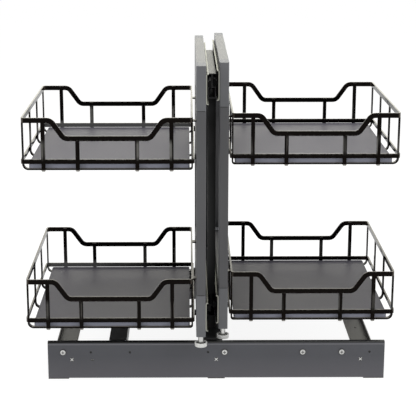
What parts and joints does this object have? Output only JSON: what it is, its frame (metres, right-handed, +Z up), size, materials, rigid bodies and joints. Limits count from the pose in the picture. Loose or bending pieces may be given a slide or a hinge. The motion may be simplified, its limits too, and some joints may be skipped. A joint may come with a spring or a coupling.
{
  "type": "pull out cabinet basket unit",
  "caption": "Blind-corner cabinet pull-out: floor frame, sideways carriage and two forward-sliding upright frames that carry wire baskets with boards.",
  "frame": {"origin": "centre of the floor frame's underside, on the cabinet floor", "axes": "+X to the right along the rails, +Y from the door towards the cabinet's back, +Z up"},
  "size_m": [0.751, 0.5267, 0.652],
  "materials": {
    "rail_grey": "satin powder coat",
    "plate_grey": "satin powder coat",
    "zinc": "bright zinc plate",
    "screw_zinc": "bright zinc plate",
    "black_steel": "satin black powder coat",
    "slide_dark": "blackened steel",
    "frame_grey": "satin powder coat",
    "corner_grey": "fine moulded grain",
    "basket_black": "high-gloss black nickel",
    "board": "matt anthracite laminate",
    "nylon_white": "smooth",
    "black_plastic": "moulded",
    "rubber": "matt"
  },
  "bodies": {
    "base": {"front_rail": "rail_grey", "rear_rail": "rail_grey", "floor_plate_left": "plate_grey", "floor_plate_middle": "plate_grey", "floor_plate_right": "plate_grey", "front_track": "black_steel", "rear_track": "black_steel", "track_screws": "screw_zinc", "frame_screws": "screw_zinc", "track_stops": "black_plastic"},
    "carriage": {"carriage_frame": "black_steel", "roller_axles": "screw_zinc", "centre_pedestals": "black_steel", "centre_lower_rail": "black_steel", "centre_posts": "black_steel", "centre_upper_rail": "black_steel"},
    "roller_front_left_body": {"roller_front_left": "nylon_white"},
    "roller_front_right_body": {"roller_front_right": "nylon_white"},
    "roller_rear_left_body": {"roller_rear_left": "nylon_white"},
    "roller_rear_right_body": {"roller_rear_right": "nylon_white"},
    "left_mid": {"left_mid_lower": "slide_dark", "left_mid_upper": "slide_dark"},
    "right_mid": {"right_mid_lower": "slide_dark", "right_mid_upper": "slide_dark"},
    "left_frame": {"left_channel_lower": "zinc", "left_channel_upper": "zinc", "left_front_post": "frame_grey", "left_rear_post": "frame_grey", "left_beams": "frame_grey", "left_corner_blocks": "corner_grey", "left_hangers": "frame_grey", "left_pads": "rubber", "left_foot_stud": "zinc", "left_lower_basket": "basket_black", "left_lower_board": "board", "left_upper_basket": "basket_black", "left_upper_board": "board"},
    "left_foot": {"left_disc": "nylon_white"},
    "right_frame": {"right_channel_lower": "zinc", "right_channel_upper": "zinc", "right_front_post": "frame_grey", "right_rear_post": "frame_grey", "right_beams": "frame_grey", "right_corner_blocks": "corner_grey", "right_hangers": "frame_grey", "right_pads": "rubber", "right_foot_stud": "zinc", "right_lower_basket": "basket_black", "right_lower_board": "board", "right_upper_basket": "basket_black", "right_upper_board": "board"},
    "right_foot": {"right_disc": "nylon_white"}
  },
  "joints": [
    {"name": "carriage_slide", "type": "slide", "parent": "base", "child": "carriage", "axis": [1, 0, 0], "range_m": [0, 0.31]},
    {"name": "roller_front_left_spin", "type": "hinge", "parent": "carriage", "child": "roller_front_left_body", "pos_m": [-0.202, -0.2343, 0.058], "axis": [0, 1, 0], "range_deg": [0, 2220.7]},
    {"name": "roller_front_right_spin", "type": "hinge", "parent": "carriage", "child": "roller_front_right_body", "pos_m": [-0.009, -0.2343, 0.058], "axis": [0, 1, 0], "range_deg": [0, 2220.7]},
    {"name": "roller_rear_left_spin", "type": "hinge", "parent": "carriage", "child": "roller_rear_left_body", "pos_m": [-0.202, 0.2343, 0.058], "axis": [0, 1, 0], "range_deg": [0, 2220.7]},
    {"name": "roller_rear_right_spin", "type": "hinge", "parent": "carriage", "child": "roller_rear_right_body", "pos_m": [-0.009, 0.2343, 0.058], "axis": [0, 1, 0], "range_deg": [0, 2220.7]},
    {"name": "left_frame_slide", "type": "slide", "parent": "carriage", "child": "left_frame", "axis": [0, -1, 0], "range_m": [-0.047, 0.393]},
    {"name": "left_mid_slide", "type": "slide", "parent": "carriage", "child": "left_mid", "axis": [0, -1, 0], "range_m": [-0.0235, 0.1965]},
    {"name": "right_frame_slide", "type": "slide", "parent": "carriage", "child": "right_frame", "axis": [0, -1, 0], "range_m": [0, 0.44]},
    {"name": "right_mid_slide", "type": "slide", "parent": "carriage", "child": "right_mid", "axis": [0, -1, 0], "range_m": [0, 0.22]},
    {"name": "left_foot_turn", "type": "hinge", "parent": "left_frame", "child": "left_foot", "pos_m": [-0.0318, -0.266, 0.087], "axis": [0, 0, 1], "continuous": true},
    {"name": "right_foot_turn", "type": "hinge", "parent": "right_frame", "child": "right_foot", "pos_m": [0.0138, -0.219, 0.087], "axis": [0, 0, 1], "continuous": true}
  ],
  "couplings": [
    {"joint": "roller_front_left_spin", "follows": "carriage_slide", "rad_per_m": 125},
    {"joint": "roller_front_right_spin", "follows": "carriage_slide", "rad_per_m": 125},
    {"joint": "roller_rear_left_spin", "follows": "carriage_slide", "rad_per_m": 125},
    {"joint": "roller_rear_right_spin", "follows": "carriage_slide", "rad_per_m": 125},
    {"joint": "left_mid_slide", "follows": "left_frame_slide", "ratio": 0.5},
    {"joint": "right_mid_slide", "follows": "right_frame_slide", "ratio": 0.5}
  ]
}
